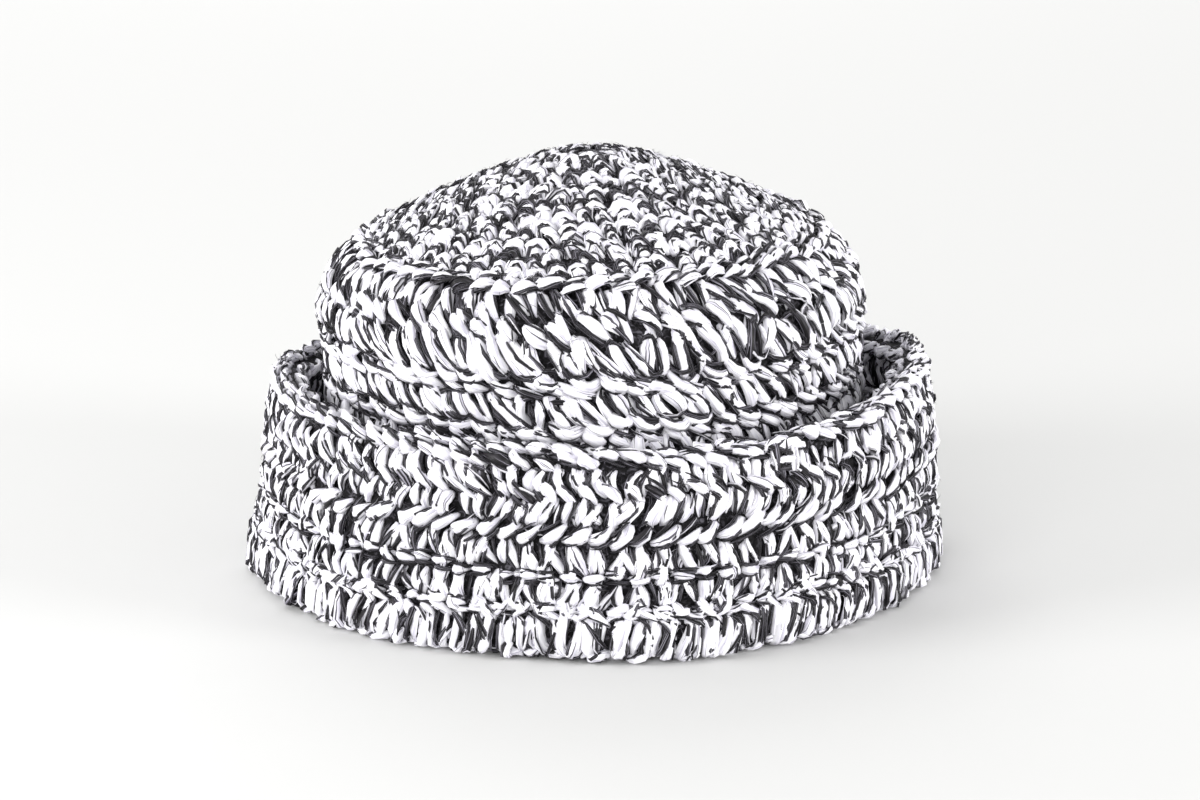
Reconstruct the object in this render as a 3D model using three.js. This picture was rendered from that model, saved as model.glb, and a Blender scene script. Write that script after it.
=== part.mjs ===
// A crocheted raffia hat with its brim turned up, resting on the fold of the brim with its opening down.
// Millimetres, +Z up, the front towards -Y. The origin is the centre of the ring that the hat rests on.
import * as THREE from "three";

// Sizes of the fabric
const HEAD_RADIUS = 89.5; // inside of the crown, for a head of about 56 cm
const FABRIC = 7; // thickness of the crocheted fabric
const RIB_RELIEF = 1.3; // how deep the groove between two rounds is on each face
const PIECE_GAP = 0.3; // between one stretch of fabric and the next

// Sizes of the crown, along the middle of the fabric
const HAT_HEIGHT = 150.5; // over all
const RIDGE_HEIGHT = 117; // where the tip turns down into the side
const RIDGE_INSET = 13.5; // how far the ridge lies inside the side's radius
const FOOT_HEIGHT = 30; // where the side ends and the brim flares out
const SIDE_RADIUS = HEAD_RADIUS + FABRIC / 2;
const RIDGE_RADIUS = SIDE_RADIUS - RIDGE_INSET;
const TIP_HEIGHT = HAT_HEIGHT - FABRIC / 2;

// Sizes of the brim, along the middle of the fabric
const FOLD_RADIUS = 121.5; // widest part of the turned-up brim
const FOLD_SINK = 0.8; // how much the fold flattens on what it rests on
const FOLD_SPREAD = 3; // how far the pressed fold spreads out at its foot
const PRESSED_HEIGHT = 1.2 * FABRIC; // the weight of the hat presses the rounds flat and wide below this
const CUFF_HEIGHT = 66; // top of the turned-up brim, under its edging
const CUFF_TAPER = 8.2; // how far the rim leans in from the widest part

// Sizes of the two raised chains of stitches
const RIDGE_CHAIN_WIDTH = 7;
const RIDGE_CHAIN_RISE = 1.1;
const EDGING_WIDTH = 8;
const EDGING_RISE = 5;

// How a hand-made hat departs from round
const CROWN_LEAN = -1.4; // the crown's shift along X at the ridge
const CROWN_LEAN_FROM = 0.64; // share of the ridge's height at which the crown starts to lean
const CROWN_TILT = 0.03; // rise of the ridge for each millimetre along X
const CUFF_LEAN = 2.4; // the cuff's shift along X
const CUFF_LEAN_TO = 0.55; // share of the cuff's height at which it has shifted

// Fineness of the faceted surface
const SEGMENTS = 48;
const PATH_STEPS = 24; // samples of the path between two sections
const SHOWN_STEPS = 3; // rings for each round on the face that shows most
const TROUGH_STEPS = 2; // and on the face of brim and cuff towards the crown
const LINING_STEPS = 1; // and inside the crown
const CHAIN_STEPS = 4;

// Sections of the fabric's middle line. The tip runs from its centre to the ridge.
const TIP_SECTIONS = [
  { out: 0.0, up: 1.0 }, // out: share of the ridge's radius
  { out: 0.15, up: 0.94 }, // up: share of the tip's rise over the ridge
  { out: 0.31, up: 0.82 },
  { out: 0.49, up: 0.65 },
  { out: 0.67, up: 0.44 },
  { out: 0.84, up: 0.235 },
  { out: 1.0, up: 0.0 },
];
const SIDE_SECTIONS = [
  { inset: 0.43, up: 0.937 }, // inset: share of the ridge's inset
  { inset: 0.08, up: 0.856 }, // up: share of the side's height
  { inset: 0.0, up: 0.759 },
  { inset: 0.05, up: 0.644 },
  { inset: 0.08, up: 0.48 },
  { inset: 0.09, up: 0.29 },
  { inset: 0.1, up: 0.12 },
  { inset: 0.07, up: 0.0 },
];
const BRIM_SECTIONS = [
  { out: 0.05, up: 0.62 }, // out: share of the way from the side to the fold
  { out: 0.22, up: 0.31 }, // up: share of the foot's height over the seat
  { out: 0.46, up: 0.1 },
  { out: 0.66, up: 0.0 },
  { out: 0.84, up: 0.0 },
  { out: 0.93, up: 0.07 },
  { out: 1.0, up: 0.23 },
];
const CUFF_SECTIONS = [
  { inset: 0.22, up: 0.19 }, // inset: share of the cuff's taper
  { inset: 0.31, up: 0.28 }, // up: share of the cuff's height over the seat
  { inset: 0.44, up: 0.43 },
  { inset: 0.56, up: 0.65 },
  { inset: 0.74, up: 0.84 },
  { inset: 1.0, up: 1.0 },
];

// Rounds of crochet in each stretch, as shares of its length along the fabric
const TIP_ROUNDS = [0.125, 0.125, 0.125, 0.125, 0.125, 0.125, 0.125, 0.125];
const SIDE_ROUNDS = [0.22, 0.19, 0.15, 0.15, 0.15, 0.14];
const BRIM_ROUNDS = [0.26, 0.26, 0.26, 0.22];
const CUFF_ROUNDS = [0.2, 0.2, 0.34, 0.26];

// The rim's height by azimuth, in degrees from +X, as a share of the cuff's height
const RIM_WAVES = [
  { azimuth: -180, rise: 0.0 },
  { azimuth: -140, rise: 0.0 },
  { azimuth: -75, rise: -0.022 },
  { azimuth: -48, rise: 0.015 },
  { azimuth: -20, rise: 0.085 },
  { azimuth: 5, rise: 0.075 },
  { azimuth: 30, rise: -0.01 },
  { azimuth: 90, rise: -0.03 },
  { azimuth: 155, rise: -0.08 },
];
// Swellings and dents of the fold by azimuth, as shares of its radius. The back repeats the front.
const FOLD_WAVES = [
  { azimuth: 0, swell: 0.0 },
  { azimuth: 30, swell: -0.01 },
  { azimuth: 48, swell: 0.0 },
  { azimuth: 75, swell: -0.018 },
  { azimuth: 100, swell: 0.022 },
  { azimuth: 120, swell: 0.002 },
  { azimuth: 145, swell: -0.014 },
];

const SEAT_HEIGHT = FABRIC / 2 - FOLD_SINK;

// The points of the fabric's middle line, in radius and height, from the tip's centre to the rim.
function middlePoints() {
  const { lerp } = THREE.MathUtils;
  const tip = TIP_SECTIONS.map(
    (row) => new THREE.Vector2(row.out * RIDGE_RADIUS, lerp(RIDGE_HEIGHT, TIP_HEIGHT, row.up)),
  );
  const side = SIDE_SECTIONS.map(
    (row) => new THREE.Vector2(SIDE_RADIUS - row.inset * RIDGE_INSET, lerp(FOOT_HEIGHT, RIDGE_HEIGHT, row.up)),
  );
  const foot = side[side.length - 1];
  const brim = BRIM_SECTIONS.map(
    (row) => new THREE.Vector2(lerp(foot.x, FOLD_RADIUS, row.out), lerp(SEAT_HEIGHT, FOOT_HEIGHT, row.up)),
  );
  const cuff = CUFF_SECTIONS.map(
    (row) => new THREE.Vector2(FOLD_RADIUS - row.inset * CUFF_TAPER, lerp(SEAT_HEIGHT, CUFF_HEIGHT, row.up)),
  );
  return { tip, side, brim, cuff };
}

const sections = middlePoints();
const middle = new THREE.SplineCurve(Object.values(sections).flat());
const sectionCount = middle.points.length;
middle.arcLengthDivisions = PATH_STEPS * (sectionCount - 1);
const lengths = middle.getLengths();
const lengthAt = (sectionIndex) => lengths[sectionIndex * PATH_STEPS];

const RIDGE_AT = lengthAt(sections.tip.length - 1);
const FOOT_AT = lengthAt(sections.tip.length + sections.side.length - 1);
const FOLD_AT = lengthAt(sections.tip.length + sections.side.length + sections.brim.length - 1);
const RIM_AT = lengthAt(sectionCount - 1);

// The borders between rounds along the whole fabric, as lengths from the tip's centre.
function bordersOf(from, to, rounds) {
  const whole = rounds.reduce((sum, share) => sum + share, 0);
  let reached = from;
  return rounds.map((share) => (reached += (share / whole) * (to - from)));
}
const tipBorders = [0, ...bordersOf(0, RIDGE_AT, TIP_ROUNDS)];
const sideBorders = [RIDGE_AT, ...bordersOf(RIDGE_AT, FOOT_AT, SIDE_ROUNDS)];
const brimBorders = [FOOT_AT, ...bordersOf(FOOT_AT, FOLD_AT, BRIM_ROUNDS)];
const cuffBorders = [FOLD_AT, ...bordersOf(FOLD_AT, RIM_AT, CUFF_ROUNDS)];
// The tip's centre is the middle of its first round.
const laterBorders = [tipBorders, sideBorders, brimBorders, cuffBorders].flatMap((borders) => borders.slice(1));
const allBorders = [-tipBorders[1], ...laterBorders];

// Half the fabric's thickness at a length along it: full on a round, less in the groove between two.
// The share pressed flat takes that much of the groove away.
function halfThickness(at, pressed = 0) {
  const next = allBorders.findIndex((border) => border > at);
  const within = next < 0 ? 0 : (at - allBorders[next - 1]) / (allBorders[next] - allBorders[next - 1]);
  return FABRIC / 2 - RIB_RELIEF * (1 - pressed) * (1 - Math.sin(Math.PI * within));
}

// A point across the fabric: face 1 is the crown's outer face, -1 the inner face, and lift is beyond the face.
// Past the rim the line runs on straight. What would lie under the seat is pressed flat on it.
function acrossFabric(at, face, lift = 0) {
  const onPath = THREE.MathUtils.clamp(at, 0, RIM_AT) / RIM_AT;
  const point = middle.getPointAt(onPath);
  const along = middle.getTangentAt(onPath);
  point.addScaledVector(along, Math.max(0, at - RIM_AT));
  const outward = new THREE.Vector2(-along.y, along.x);
  const pressed = smooth(PRESSED_HEIGHT, SEAT_HEIGHT, point.y);
  point.addScaledVector(outward, face * (halfThickness(at, pressed) + lift));
  point.x = Math.max(point.x, 0);
  point.y = Math.max(point.y, 0);
  return point;
}

// The rings of one stretch of fabric, from one border to another, with a number of rings for each round.
function ringPlaces(from, to, rounds, steps) {
  const places = [];
  for (let round = 0; round < rounds.length - 1; round++)
    for (let step = 0; step < steps; step++)
      places.push(THREE.MathUtils.lerp(rounds[round], rounds[round + 1], step / steps));
  return [from, ...places.filter((at) => at > from + PIECE_GAP && at < to - PIECE_GAP), to];
}

// A closed profile for a stretch of fabric, with its own steps on the crown's outer face and on the inner face.
// A stretch from the centre starts and ends on the axis.
function fabricProfile(from, to, rounds, outerSteps, innerSteps) {
  const outer = ringPlaces(from, to, rounds, outerSteps).map((at) => acrossFabric(at, 1));
  const inner = ringPlaces(from, to, rounds, innerSteps).map((at) => acrossFabric(at, -1));
  const profile = [...outer, ...inner.reverse()];
  if (from > 0) return [...profile, profile[0].clone()];
  profile[0].x = 0;
  profile[profile.length - 1].x = 0;
  return profile;
}

// Eases from 0 at one value to 1 at another, in either direction.
function smooth(from, to, value) {
  const share = THREE.MathUtils.clamp((value - from) / (to - from), 0, 1);
  return share * share * (3 - 2 * share);
}

// A value read from a table of azimuths that repeats every period degrees, eased between its rows.
function waveAt(table, column, period, azimuth) {
  const start = table[0].azimuth;
  const turned = THREE.MathUtils.euclideanModulo(azimuth - start, period) + start;
  const after = table.findIndex((row) => row.azimuth > turned);
  const low = table[(after < 0 ? table.length : after) - 1];
  const high = after < 0 ? { ...table[0], azimuth: start + period } : table[after];
  return THREE.MathUtils.lerp(low[column], high[column], smooth(low.azimuth, high.azimuth, turned));
}

// The crown leans and tilts a little over its foot.
function settleCrown(point) {
  point.z += CROWN_TILT * point.x * smooth(FOOT_HEIGHT, RIDGE_HEIGHT, point.z);
  point.x += CROWN_LEAN * smooth(CROWN_LEAN_FROM * RIDGE_HEIGHT, RIDGE_HEIGHT, point.z);
}

// The turned-up brim spreads, swells and dents along its fold, waves along its rim, and leans.
function settleBrim(point) {
  const azimuth = THREE.MathUtils.radToDeg(Math.atan2(point.y, point.x));
  const radius = Math.hypot(point.x, point.y);
  const crownOutside = SIDE_RADIUS + FABRIC / 2;
  const cuffInside = FOLD_RADIUS - CUFF_TAPER - FABRIC / 2;
  const onCuff = smooth(crownOutside, cuffInside, radius);
  const height = THREE.MathUtils.clamp(point.z / CUFF_HEIGHT, 0, 1);
  const pressed = smooth(PRESSED_HEIGHT, 0, point.z) * smooth(cuffInside, FOLD_RADIUS, radius);
  const swell = onCuff * (1 - height) * waveAt(FOLD_WAVES, "swell", 180, azimuth);
  const stretch = 1 + swell + (pressed * FOLD_SPREAD) / radius;
  point.x = point.x * stretch + onCuff * CUFF_LEAN * smooth(0, CUFF_LEAN_TO, height);
  point.y *= stretch;
  point.z += onCuff * height * height * CUFF_HEIGHT * waveAt(RIM_WAVES, "rise", 360, azimuth);
}

// Turns a profile about the upright axis, settles it, and names it. The profile is listed clockwise.
function turned(name, profile, settle, material) {
  const geometry = new THREE.LatheGeometry(profile.toReversed(), SEGMENTS);
  geometry.rotateX(Math.PI / 2);
  const positions = geometry.getAttribute("position");
  const point = new THREE.Vector3();
  for (let i = 0; i < positions.count; i++) {
    settle(point.fromBufferAttribute(positions, i));
    positions.setXYZ(i, point.x, point.y, point.z);
  }
  geometry.computeVertexNormals();
  const mesh = new THREE.Mesh(geometry, material);
  mesh.name = name;
  return mesh;
}

const marledRaffia = new THREE.MeshStandardMaterial({ color: 0xb4b3b9, roughness: 0.65, metalness: 0 });
const paleRaffia = new THREE.MeshStandardMaterial({ color: 0xd8d7dc, roughness: 0.65, metalness: 0 });

// The domed tip, worked in rounds from its centre.
function crownTip() {
  const profile = fabricProfile(0, RIDGE_AT - PIECE_GAP / 2, tipBorders, SHOWN_STEPS, LINING_STEPS);
  return turned("crown_tip", profile, settleCrown, marledRaffia);
}

// The upright side, from the ridge down to the foot.
function crownSide() {
  const from = RIDGE_AT + PIECE_GAP / 2;
  const to = FOOT_AT - PIECE_GAP / 2;
  const profile = fabricProfile(from, to, sideBorders, SHOWN_STEPS, LINING_STEPS);
  return turned("crown_side", profile, settleCrown, marledRaffia);
}

// The brim, which flares out from the foot and folds up where the hat rests.
function brim() {
  const from = FOOT_AT + PIECE_GAP / 2;
  const to = FOLD_AT - PIECE_GAP / 2;
  const profile = fabricProfile(from, to, brimBorders, TROUGH_STEPS, SHOWN_STEPS);
  return turned("brim", profile, settleBrim, marledRaffia);
}

// The cuff, which is the brim's outer part, turned up from the fold to the rim.
function cuff() {
  const profile = fabricProfile(FOLD_AT + PIECE_GAP / 2, RIM_AT, cuffBorders, TROUGH_STEPS, SHOWN_STEPS);
  return turned("cuff", profile, settleBrim, marledRaffia);
}

// The raised chain along the ridge, lying over the border of tip and side.
function ridgeChain() {
  const under = [];
  const over = [];
  for (let step = 0; step <= CHAIN_STEPS; step++) {
    const across = (2 * step) / CHAIN_STEPS - 1;
    const at = RIDGE_AT + (across * RIDGE_CHAIN_WIDTH) / 2;
    const rise = RIB_RELIEF + RIDGE_CHAIN_RISE * Math.sqrt(1 - across * across);
    under.push(acrossFabric(at, 1, PIECE_GAP));
    if (step > 0 && step < CHAIN_STEPS) over.push(acrossFabric(at, 1, PIECE_GAP + rise));
  }
  const profile = [...over, ...under.reverse()];
  return turned("ridge_chain", [...profile, profile[0].clone()], settleCrown, paleRaffia);
}

// The chain-stitch edging along the top of the turned-up brim.
function rimEdging() {
  const profile = [];
  const start = RIM_AT + PIECE_GAP;
  for (let step = 0; step <= 2 * CHAIN_STEPS; step++) {
    const turn = (Math.PI * step) / (2 * CHAIN_STEPS);
    const across = (EDGING_WIDTH / 2) * Math.cos(turn);
    const lift = Math.abs(across) - halfThickness(RIM_AT);
    profile.push(acrossFabric(start + EDGING_RISE * Math.sin(turn), Math.sign(across) || 1, lift));
  }
  return turned("rim_edging", [...profile, profile[0].clone()], settleBrim, paleRaffia);
}

const hat = new THREE.Group();
hat.add(crownTip(), ridgeChain(), crownSide(), brim(), cuff(), rimEdging());

export default hat;
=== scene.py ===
# A crocheted raffia hat, black and white marled, with its brim turned up as a cuff, standing on a pale floor.
import math

import bpy
import numpy as np
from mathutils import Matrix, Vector


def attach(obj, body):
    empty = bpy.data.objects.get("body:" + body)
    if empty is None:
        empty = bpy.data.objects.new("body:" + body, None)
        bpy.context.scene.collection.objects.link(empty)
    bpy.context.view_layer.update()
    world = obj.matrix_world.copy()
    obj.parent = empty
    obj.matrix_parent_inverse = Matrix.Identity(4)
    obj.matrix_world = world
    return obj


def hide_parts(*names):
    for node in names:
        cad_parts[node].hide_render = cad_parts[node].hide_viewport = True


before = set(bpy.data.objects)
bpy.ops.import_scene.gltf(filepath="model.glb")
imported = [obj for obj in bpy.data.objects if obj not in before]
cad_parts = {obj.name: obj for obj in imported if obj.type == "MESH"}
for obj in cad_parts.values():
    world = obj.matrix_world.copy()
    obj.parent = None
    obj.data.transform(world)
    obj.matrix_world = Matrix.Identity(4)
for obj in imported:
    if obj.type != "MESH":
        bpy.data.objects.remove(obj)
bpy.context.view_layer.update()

MM = 0.001  # the fabric is worked out in millimetres and made in metres
chance = np.random.default_rng(7)

# The fabric, in mm

# The middle of the fabric from the tip's centre to the rim: radius and height
MIDDLE_LINE = [
    # the domed tip
    (0.0, 147.0),
    (11.9, 145.2),
    (24.6, 141.6),
    (39.0, 136.5),
    (53.3, 130.2),
    (66.8, 124.05),
    (79.5, 117.0),
    # the side
    (87.2, 111.5),
    (91.9, 104.5),
    (93.0, 96.0),
    (92.3, 86.0),
    (91.9, 71.8),
    (91.8, 55.2),
    (91.65, 40.4),
    (92.05, 30.0),
    # the brim and its fold
    (93.5, 19.6),
    (98.5, 11.2),
    (105.6, 5.4),
    (111.5, 2.7),
    (116.8, 2.7),
    (119.4, 4.6),
    (121.5, 9.0),
    # the cuff
    (119.7, 14.7),
    (119.0, 20.4),
    (117.9, 29.9),
    (116.9, 43.8),
    (115.4, 55.9),
    (113.3, 66.0),
]
# Its rows at the ridge, at the foot of the crown's side, and where the fold is widest
RIDGE_ROW, FOOT_ROW, FOLD_ROW = 6, 14, 21
FABRIC = 7.0
RIDGE_HEIGHT = MIDDLE_LINE[RIDGE_ROW][1]
FOOT_HEIGHT = MIDDLE_LINE[FOOT_ROW][1]
SIDE_RADIUS = max(radius for radius, _ in MIDDLE_LINE[RIDGE_ROW:FOOT_ROW])
FOLD_RADIUS = MIDDLE_LINE[FOLD_ROW][0]
CUFF_HEIGHT = MIDDLE_LINE[-1][1]
CUFF_INSIDE = MIDDLE_LINE[-1][0] - FABRIC / 2

# How the hat departs from round
CROWN_LEAN = -1.4  # the crown's top, to the right
CROWN_LEAN_FROM = 0.64  # of the ridge's height
CROWN_TILT = 0.03  # the ridge's rise for each mm to the right
CUFF_LEAN = 2.4  # the rim, to the right
CUFF_LEAN_TO = 0.55  # of the cuff's height
FOLD_SPREAD = 3.0  # the fold, out under the hat's weight
PRESSED_HEIGHT = 1.2 * FABRIC  # the weight spreads the fold up to here
PRESSED_STRANDS = 1.5  # strands lower than this are pressed together under the fold
# Azimuth in degrees from +X, and the rim's rise as a share of the cuff's height
RIM_WAVES = [
    (-180, 0.0),
    (-140, 0.0),
    (-75, -0.022),
    (-48, 0.015),
    (-20, 0.085),
    (5, 0.075),
    (30, -0.01),
    (90, -0.03),
    (155, -0.08),
]
# Azimuth in degrees from +X, and the fold's swelling as a share of its radius, the back like the front
FOLD_WAVES = [
    (0, 0.0),
    (30, -0.01),
    (48, 0.0),
    (75, -0.018),
    (100, 0.022),
    (120, 0.002),
    (145, -0.014),
]


def eased(low, high, value):
    """Eases from 0 at one value to 1 at another, in either direction."""
    share = np.clip((value - low) / (high - low), 0, 1)
    return share * share * (3 - 2 * share)


def wave(rows, period, azimuth):
    """Reads a table of azimuths that repeats every period degrees, eased between its rows."""
    places = np.array([row[0] for row in rows] + [rows[0][0] + period], float)
    values = np.array([row[1] for row in rows] + [rows[0][1]], float)
    turned = (azimuth - places[0]) % period + places[0]
    before = np.clip(np.searchsorted(places, turned, side="right") - 1, 0, len(rows) - 1)
    share = eased(places[before], places[before + 1], turned)
    return values[before] + (values[before + 1] - values[before]) * share


STEPS = 24  # from one row of the middle line to the next
STEPS_PAST_RIM = 40


def sample_middle_line():
    """Length along the middle line, its points and its direction at close steps, carried on past the rim."""
    knots = np.array(MIDDLE_LINE)
    padded = np.vstack([knots[0], knots, knots[-1]])
    share = np.arange(STEPS)[:, None] / STEPS
    points = []
    for a, b, c, d in zip(padded, padded[1:], padded[2:], padded[3:]):
        v0, v1 = (c - a) / 2, (d - b) / 2
        cubed = (2 * b - 2 * c + v0 + v1) * share**3
        squared = (3 * c - 3 * b - 2 * v0 - v1) * share**2
        points.append(cubed + squared + v0 * share + b)
    points = np.vstack([*points, knots[-1:]])
    points = np.vstack([points, points[-1] + (points[-1] - points[-2]) * STEPS_PAST_RIM])
    lengths = np.concatenate([[0], np.cumsum(np.linalg.norm(np.diff(points, axis=0), axis=1))])
    heading = np.gradient(points, lengths, axis=0)
    return lengths, points, heading / np.linalg.norm(heading, axis=1)[:, None]


LENGTHS, POINTS, HEADINGS = sample_middle_line()
RIDGE_AT = LENGTHS[STEPS * RIDGE_ROW]
FOOT_AT = LENGTHS[STEPS * FOOT_ROW]
FOLD_AT = LENGTHS[STEPS * FOLD_ROW]
RIM_AT = LENGTHS[STEPS * (len(MIDDLE_LINE) - 1)]


def radius_at(along):
    return np.interp(along, LENGTHS, POINTS[:, 0])


def pressed_flat(z):
    """Heights under the fold, pressed up off the ground with each strand kept above the one below it."""
    pressed = PRESSED_STRANDS * np.exp(np.minimum(z / PRESSED_STRANDS - 1, 0))
    return np.where(z < PRESSED_STRANDS, pressed, z)


def settled(points):
    """Leans, tilts, spreads and waves points of the round hat, in mm."""
    x, y, z = points[..., 0], points[..., 1], points[..., 2]
    radius = np.maximum(np.hypot(x, y), 0.1)
    azimuth = np.degrees(np.arctan2(y, x))
    crown_z = z + CROWN_TILT * x * eased(FOOT_HEIGHT, RIDGE_HEIGHT, z)
    crown_x = x + CROWN_LEAN * eased(CROWN_LEAN_FROM * RIDGE_HEIGHT, RIDGE_HEIGHT, crown_z)
    on_cuff = eased(SIDE_RADIUS + FABRIC / 2, CUFF_INSIDE, radius)
    risen = np.clip(z / CUFF_HEIGHT, 0, 1)
    pressed = eased(PRESSED_HEIGHT, 0, z) * eased(CUFF_INSIDE, FOLD_RADIUS, radius)
    stretch = 1 + on_cuff * (1 - risen) * wave(FOLD_WAVES, 180, azimuth) + pressed * FOLD_SPREAD / radius
    brim_x = x * stretch + on_cuff * CUFF_LEAN * eased(0, CUFF_LEAN_TO, risen)
    brim_z = z + on_cuff * risen**2 * CUFF_HEIGHT * wave(RIM_WAVES, 360, azimuth)
    crown = (radius < (SIDE_RADIUS + CUFF_INSIDE) / 2) & (z > FOOT_HEIGHT)
    height = pressed_flat(np.where(crown, crown_z, brim_z))
    return np.stack([np.where(crown, crown_x, brim_x), np.where(crown, y, y * stretch), height], -1)


def across_fabric(along, out):
    """Radius and height of points along the middle line and out of it, towards the crown's outside."""
    run = np.interp(along, LENGTHS, HEADINGS[:, 0])
    rise = np.interp(along, LENGTHS, HEADINGS[:, 1])
    radius = radius_at(along) - out * rise
    return np.maximum(radius, 0), np.interp(along, LENGTHS, POINTS[:, 1]) + out * run


def on_fabric(turn, along, out):
    """Points in mm, given in radians round the hat and as across_fabric takes them."""
    radius, z = across_fabric(along, out)
    return settled(np.stack([radius * np.cos(turn), radius * np.sin(turn), z], -1))


# Materials


def linear(text):
    """An sRGB hex colour as the linear values that a shader takes."""
    channels = [int(text[i : i + 2], 16) / 255 for i in (1, 3, 5)]
    return [c / 12.92 if c <= 0.04045 else ((c + 0.055) / 1.055) ** 2.4 for c in channels] + [1.0]


def add(tree, kind, settings, links=()):
    """Adds a node, sets its properties and sockets, and links sockets to the outputs given."""
    node = tree.nodes.new(kind)
    for name, value in settings.items():
        if name == "stops":
            while len(node.color_ramp.elements) < len(value):
                node.color_ramp.elements.new(0.5)
            for element, (place, colour) in zip(node.color_ramp.elements, value):
                element.position = place
                element.color = linear(colour)
        elif hasattr(node, name):
            setattr(node, name, value)
        else:
            node.inputs[name].default_value = value
    for socket, source in links:
        tree.links.new(source, node.inputs[socket])
    return node


ATLAS = 8  # a strand reads one of 8 x 8 patches of the pattern
PATCH_MARGIN = 0.04  # kept clear round each patch, as a share of it
STRAND_ROUND = 9.0  # mm round a strand
STRAND_LENGTH = 10.0  # mm along it
PLEAT_LENGTH = 6.0  # mm that a pleat runs along the strand
FIBRE_LENGTH = 9.0  # mm that a stray fibre does
SHINE_SPREAD = 0.12  # roughness between pleats that lie open and closed
RAFFIA_SPECULAR = 0.25


def streaks(tree, place, across_mm, lengthwise_mm, detail, distortion):
    """Noise drawn out along the strand, with its grain's real size across and along it."""
    grain = (ATLAS * STRAND_LENGTH / lengthwise_mm, ATLAS * STRAND_ROUND / across_mm, 1)
    drawn = add(tree, "ShaderNodeMapping", {"Scale": grain}, [("Vector", place.outputs["UV"])])
    settings = {"noise_dimensions": "2D", "Scale": 1.0, "Detail": detail, "Distortion": distortion}
    return add(tree, "ShaderNodeTexNoise", settings, [("Vector", drawn.outputs["Vector"])])


def paper_raffia(name, pleat_mm, tones_and_painted_shade, fibre_mm, fibre_and_glint_stops, fibre_and_glint_colour, roughness, relief_mm):
    """Flat paper raffia gathered into a strand, so its fine pleats and stray fibres run along it."""
    material = bpy.data.materials.new(name)
    material.use_nodes = True
    tree = material.node_tree
    shader = tree.nodes["Principled BSDF"]
    shader.inputs["Specular IOR Level"].default_value = RAFFIA_SPECULAR
    place = add(tree, "ShaderNodeUVMap", {"uv_map": "strand"})
    pleats = streaks(tree, place, pleat_mm, PLEAT_LENGTH, detail=3.0, distortion=0.25)
    fibres = streaks(tree, place, fibre_mm, FIBRE_LENGTH, detail=1.0, distortion=0.5)
    # the pleats' colours: on the white the lower ones are painted shade in the pleats' hollows, on the black
    # they are its own tones
    pleat_tones_and_shade = add(tree, "ShaderNodeValToRGB", {"stops": tones_and_painted_shade}, [("Fac", pleats.outputs["Fac"])])
    # the fibres' colour: real dark fibres on the white, painted highlights on the black's single filaments
    fibres_and_glints = add(tree, "ShaderNodeValToRGB", {"stops": fibre_and_glint_stops}, [("Fac", fibres.outputs["Fac"])])
    both = add(
        tree,
        "ShaderNodeMix",
        {"data_type": "RGBA"},
        [(0, fibres_and_glints.outputs["Color"]), (6, pleat_tones_and_shade.outputs["Color"])],
    )
    both.inputs[7].default_value = linear(fibre_and_glint_colour)
    tree.links.new(both.outputs[2], shader.inputs["Base Color"])
    shine = add(
        tree,
        "ShaderNodeMapRange",
        {"To Min": roughness - SHINE_SPREAD, "To Max": roughness + SHINE_SPREAD},
        [("Value", pleats.outputs["Fac"])],
    )
    tree.links.new(shine.outputs["Result"], shader.inputs["Roughness"])
    bump = add(tree, "ShaderNodeBump", {"Distance": relief_mm * MM}, [("Height", pleats.outputs["Fac"])])
    tree.links.new(bump.outputs["Normal"], shader.inputs["Normal"])
    return material


# White paper raffia: matt and bright, with painted shade in a cool lavender grey down its pleats, and a few
# dark fibres
WHITE = paper_raffia(
    "white_paper_raffia",
    pleat_mm=0.9,
    # painted shade: the cool lavender greys low in the pleats; the palest stop is the paper's own white
    tones_and_painted_shade=[(0.26, "#B6B3C0"), (0.40, "#DBD9E2"), (0.56, "#E9E8ED"), (0.75, "#F2F1F4")],
    fibre_mm=0.5,
    fibre_and_glint_stops=[(0.68, "#000000"), (0.74, "#FFFFFF")],
    fibre_and_glint_colour="#4C4951",
    roughness=0.6,
    relief_mm=0.5,
)
# Black paper raffia, gathered so finely that single filaments catch the light, their glints painted in a pale
# grey
BLACK = paper_raffia(
    "black_paper_raffia",
    pleat_mm=0.8,
    tones_and_painted_shade=[(0.35, "#070607"), (0.5, "#131114"), (0.65, "#2C292E"), (0.8, "#454248")],
    fibre_mm=0.55,
    fibre_and_glint_stops=[(0.60, "#000000"), (0.68, "#FFFFFF")],
    # painted highlight: a pale grey where light catches single filaments
    fibre_and_glint_colour="#8D8A95",
    roughness=0.45,
    relief_mm=0.5,
)


DEEP_STRANDS = 2.5  # mm between the strands that show as flecks in the shade
DEEP_RELIEF = 1.0  # mm that they stand out


def shaded_raffia():
    """The strands deep between the stitches, black yarn with flecks of the white, painted dark with the shade
    they lie in.
    """
    material = bpy.data.materials.new("shaded_marled_raffia")
    material.use_nodes = True
    tree = material.node_tree
    shader = tree.nodes["Principled BSDF"]
    shader.inputs["Roughness"].default_value = 0.8
    shader.inputs["Specular IOR Level"].default_value = 0.2
    place = add(tree, "ShaderNodeTexCoord", {})
    settings = {"Scale": 1 / (DEEP_STRANDS * MM), "Detail": 2.0, "Distortion": 1.6}
    strands = add(tree, "ShaderNodeTexNoise", settings, [("Vector", place.outputs["Object"])])
    # painted shade: the black yarn and the white's flecks, darkened as they lie in shadow between the
    # stitches
    stops = [(0.42, "#0A090B"), (0.55, "#1E1C20"), (0.70, "#5A585F")]
    tones_and_painted_shade = add(tree, "ShaderNodeValToRGB", {"stops": stops}, [("Fac", strands.outputs["Fac"])])
    tree.links.new(tones_and_painted_shade.outputs["Color"], shader.inputs["Base Color"])
    bump = add(tree, "ShaderNodeBump", {"Distance": DEEP_RELIEF * MM}, [("Height", strands.outputs["Fac"])])
    tree.links.new(bump.outputs["Normal"], shader.inputs["Normal"])
    return material


SHADED = shaded_raffia()


# Strands


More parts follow.
